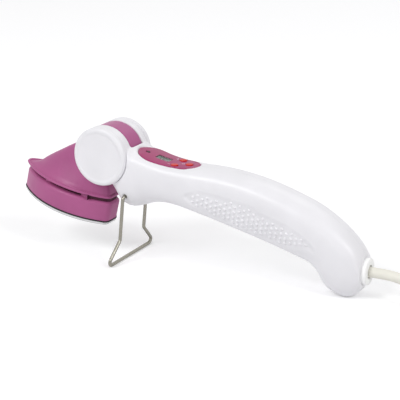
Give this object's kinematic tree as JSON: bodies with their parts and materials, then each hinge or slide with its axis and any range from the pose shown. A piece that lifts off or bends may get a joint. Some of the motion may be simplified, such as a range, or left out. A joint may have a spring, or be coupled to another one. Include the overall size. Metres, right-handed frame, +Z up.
{
  "type": "mini craft iron",
  "caption": "Small craft iron with a tilting leaf-shaped heated head, curved dotted grip, control panel, fold-out wire stand and mains cord.",
  "frame": {"origin": "middle of the iron without its cord, at table height", "axes": "+X from the nose of the sole towards the cord, +Y to the right of that, +Z up"},
  "size_m": [0.4271, 0.0757, 0.089],
  "materials": {
    "white_plastic": "smooth moulded, faint lilac shade",
    "purple_plastic": "satin moulded",
    "pink_plastic": "smooth",
    "red_plastic": "smooth",
    "black_plastic": "moulded",
    "black_rubber": "soft",
    "cord_sheath": "off-white flexible sheath",
    "steel": "plain",
    "element_steel": "heat-darkened",
    "wire_metal": "nickel plated",
    "pin_metal": "nickel plated brass",
    "sole_metal": "polished",
    "clear_window": "clear",
    "display_grey": "reflective display",
    "lamp": "dark lamp, not lit",
    "board": "circuit board",
    "capacitor_sleeve": "sleeve",
    "fuse": "ceramic"
  },
  "bodies": {
    "handle": {"left_shell": "white_plastic", "right_shell": "white_plastic", "left_cap": "white_plastic", "right_cap": "white_plastic", "cord_bush": "white_plastic", "shell_screws": "steel", "pivot_screws": "steel", "board_screws": "steel", "clamp_screws": "steel", "left_pivot": "steel", "right_pivot": "steel", "friction_washers": "black_plastic", "panel": "pink_plastic", "display_window": "clear_window", "indicator_lamp": "lamp", "display": "display_grey", "control_board": "board", "switches": "black_plastic", "triac": "black_plastic", "capacitor": "capacitor_sleeve", "heater_cable": "black_rubber", "mains_leads": "black_rubber", "inner_cord": "cord_sheath", "cord": "cord_sheath", "cord_coil": "cord_sheath", "plug_lead": "cord_sheath", "plug_relief": "cord_sheath", "plug_body": "cord_sheath", "plug_pins": "pin_metal", "cord_tie": "black_rubber", "cord_clamp": "black_plastic"},
    "head": {"hood": "purple_plastic", "sole_housing": "purple_plastic", "sole_gasket": "black_rubber", "soleplate": "sole_metal", "heating_element": "element_steel", "element_clamp": "steel", "element_screw": "steel", "heat_shield": "steel", "thermal_fuse": "fuse", "thermistor": "black_plastic", "sole_screws": "steel", "head_cable": "black_rubber"},
    "stand": {"stand_wire": "wire_metal"},
    "up_key": {"up_button": "red_plastic"},
    "down_key": {"down_button": "red_plastic"},
    "power_key": {"power_button": "red_plastic"}
  },
  "joints": [
    {"name": "head_tilt", "type": "hinge", "parent": "handle", "child": "head", "pos_m": [-0.05421, 0, 0.07], "axis": [0, 1, 0], "range_deg": [0, 90]},
    {"name": "stand_fold", "type": "hinge", "parent": "handle", "child": "stand", "pos_m": [-0.03821, 0, 0.045], "axis": [0, -1, 0], "range_deg": [0, 84]},
    {"name": "up_press", "type": "slide", "parent": "handle", "child": "up_key", "axis": [0, 0, -1], "range_m": [0, 0.0006], "stiffness_N_per_m": 1500},
    {"name": "down_press", "type": "slide", "parent": "handle", "child": "down_key", "axis": [0, 0, -1], "range_m": [0, 0.0006], "stiffness_N_per_m": 1500},
    {"name": "power_press", "type": "slide", "parent": "handle", "child": "power_key", "axis": [0, 0, -1], "range_m": [0, 0.0006], "stiffness_N_per_m": 1500}
  ]
}
